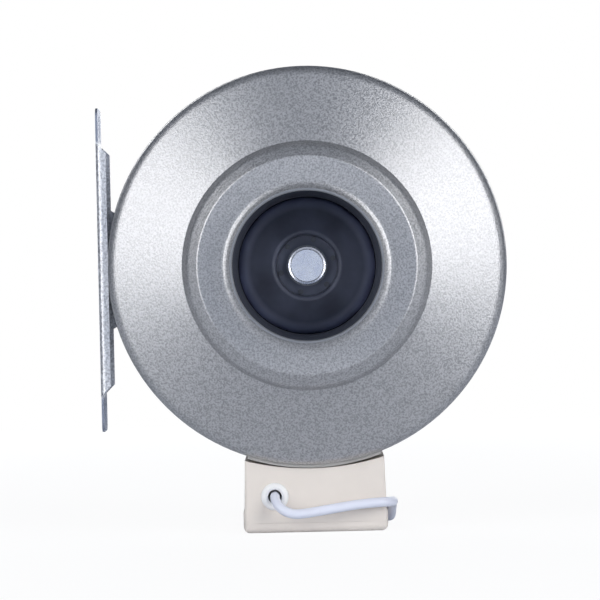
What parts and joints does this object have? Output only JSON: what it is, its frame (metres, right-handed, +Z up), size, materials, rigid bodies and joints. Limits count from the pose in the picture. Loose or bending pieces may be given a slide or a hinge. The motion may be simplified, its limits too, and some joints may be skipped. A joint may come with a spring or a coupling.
{
  "type": "inline duct fan",
  "caption": "Round pressed-steel inline duct fan with a centrifugal impeller on an external-rotor motor, a wall bracket, a terminal box and a coiled supply cord.",
  "frame": {"origin": "centre of the inlet spigot's mouth, on the fan axis", "axes": "+Y along the fan axis in the direction of the air, from inlet to outlet; +Z up, away from the terminal box; the wall bracket is on the -X side"},
  "size_m": [0.2654, 0.2411, 0.3019],
  "materials": {
    "hammertone": "silver-grey hammertone stoved paint on pressed steel",
    "zinc": "zinc-plated steel fasteners",
    "zinc_sheet": "galvanised sheet steel",
    "black_coat": "satin black coating",
    "cast_alloy": "die-cast, fine matt texture",
    "stack_steel": "laminated electrical steel",
    "copper": "enamelled copper turns",
    "bearing_steel": "ground bright steel",
    "rotor_steel": "oiled drawn steel",
    "black_oxide": "black-oxide steel screws",
    "black_sheath": "matt black sheath",
    "rubber": "moulded rubber",
    "impeller_plastic": "blue-black glass-filled plastic",
    "cap_metal": "bright satin cap, left blank",
    "cream_plastic": "cream moulded plastic with a fine grain",
    "gasket_foam": "light grey closed-cell foam",
    "white_nylon": "natural nylon",
    "brass": "plain brass",
    "grommet_white": "white soft rubber",
    "wire_brown": "insulated conductors",
    "wire_blue": "insulated conductors",
    "cord_sheath": "pale bluish-white PVC sheath",
    "tie_plastic": "black tie",
    "plated_brass": "nickel-plated pins"
  },
  "bodies": {
    "housing": {"inlet_casing": "hammertone", "outlet_casing": "hammertone", "mount_bracket": "hammertone", "casing_rivets": "zinc", "inlet_ring": "black_coat", "motor_support": "zinc_sheet", "support_rivets": "zinc", "motor_flange": "cast_alloy", "motor_screws": "zinc", "bearing_cap": "zinc_sheet", "stator_core": "stack_steel", "stator_windings": "copper", "front_bearing": "bearing_steel", "rear_bearing": "bearing_steel", "motor_lead": "black_sheath", "lead_grommet": "rubber", "bracket_screws": "zinc", "bracket_nuts": "zinc", "terminal_box": "cream_plastic", "box_gasket": "gasket_foam", "box_lid": "cream_plastic", "lid_screws": "zinc", "box_screws": "zinc", "box_nuts": "zinc", "earth_tag": "brass", "terminal_block": "white_nylon", "terminal_screws": "brass", "block_screws": "zinc", "capacitor": "white_nylon", "capacitor_strap": "zinc_sheet", "strap_screws": "zinc", "cord_clamp": "white_nylon", "clamp_screws": "zinc", "cable_grommet": "grommet_white", "supply_wires": "wire_brown", "motor_wires": "wire_blue", "power_cord": "cord_sheath", "cord_coil": "cord_sheath", "cord_tail": "cord_sheath", "cord_tie": "tie_plastic", "plug_body": "cord_sheath", "plug_pins": "plated_brass"},
    "rotor": {"impeller_wheel": "impeller_plastic", "impeller_blades": "impeller_plastic", "impeller_shroud": "impeller_plastic", "impeller_screws": "black_oxide", "rotor_cap": "cap_metal", "rotor_bell": "rotor_steel", "rotor_core": "stack_steel", "motor_shaft": "bearing_steel", "shaft_circlip": "rotor_steel"}
  },
  "joints": [
    {"name": "impeller_spin", "type": "hinge", "parent": "housing", "child": "rotor", "pos_m": [0, 0.1, 0], "axis": [0, 1, 0], "continuous": true}
  ]
}
